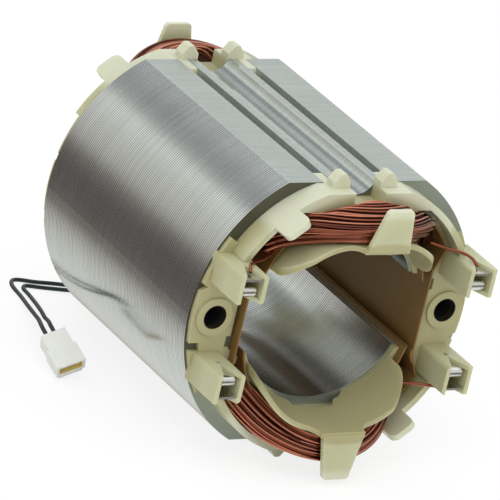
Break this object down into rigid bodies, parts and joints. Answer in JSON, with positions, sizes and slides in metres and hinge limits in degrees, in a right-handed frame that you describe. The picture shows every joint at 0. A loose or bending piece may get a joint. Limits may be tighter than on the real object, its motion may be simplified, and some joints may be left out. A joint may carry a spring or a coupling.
{
  "type": "wound stator",
  "caption": "Wound field of a small two-pole universal motor: laminated steel body, moulded end frames, saddle coils, push-in terminals and a sensor lead with its connector.",
  "frame": {"origin": "centre of the rotor bore, halfway along the lamination stack", "axes": "+Y along the bore from the terminal end to the plain end, +Z through the middle of the upper pole, +X to the right seen from the terminal end"},
  "size_m": [0.0602, 0.0816, 0.0528],
  "materials": {
    "electrical_steel": "ground sheet edges, satin",
    "natural_nylon": "translucent moulding, semi-gloss",
    "slot_paper": "varnished amber paper",
    "enamelled_copper": "enamelled wire, glossy",
    "shrink_sleeve": "satin",
    "tinned_brass": "bright tin plate",
    "tinned_spring": "bright tin plate",
    "lead_insulation": "satin",
    "white_nylon": "semi-gloss moulding",
    "contact_tin": "tin plate"
  },
  "bodies": {
    "root": {"lamination_stack": "electrical_steel", "front_end_frame": "natural_nylon", "rear_end_frame": "natural_nylon", "slot_liner_upper_right": "slot_paper", "slot_liner_upper_left": "slot_paper", "slot_liner_lower_right": "slot_paper", "slot_liner_lower_left": "slot_paper", "upper_coil": "enamelled_copper", "lower_coil": "enamelled_copper", "sensor_sleeve": "shrink_sleeve", "terminal_blade_upper_right": "tinned_brass", "terminal_blade_upper_left": "tinned_brass", "terminal_blade_lower_right": "tinned_brass", "terminal_blade_lower_left": "tinned_brass", "wire_clip_upper_right": "tinned_spring", "wire_clip_upper_left": "tinned_spring", "wire_clip_lower_right": "tinned_spring", "wire_clip_lower_left": "tinned_spring", "sensor_lead_a": "lead_insulation", "sensor_lead_b": "lead_insulation", "connector_housing": "white_nylon", "connector_contact_a": "contact_tin", "connector_contact_b": "contact_tin"}
  },
  "joints": []
}
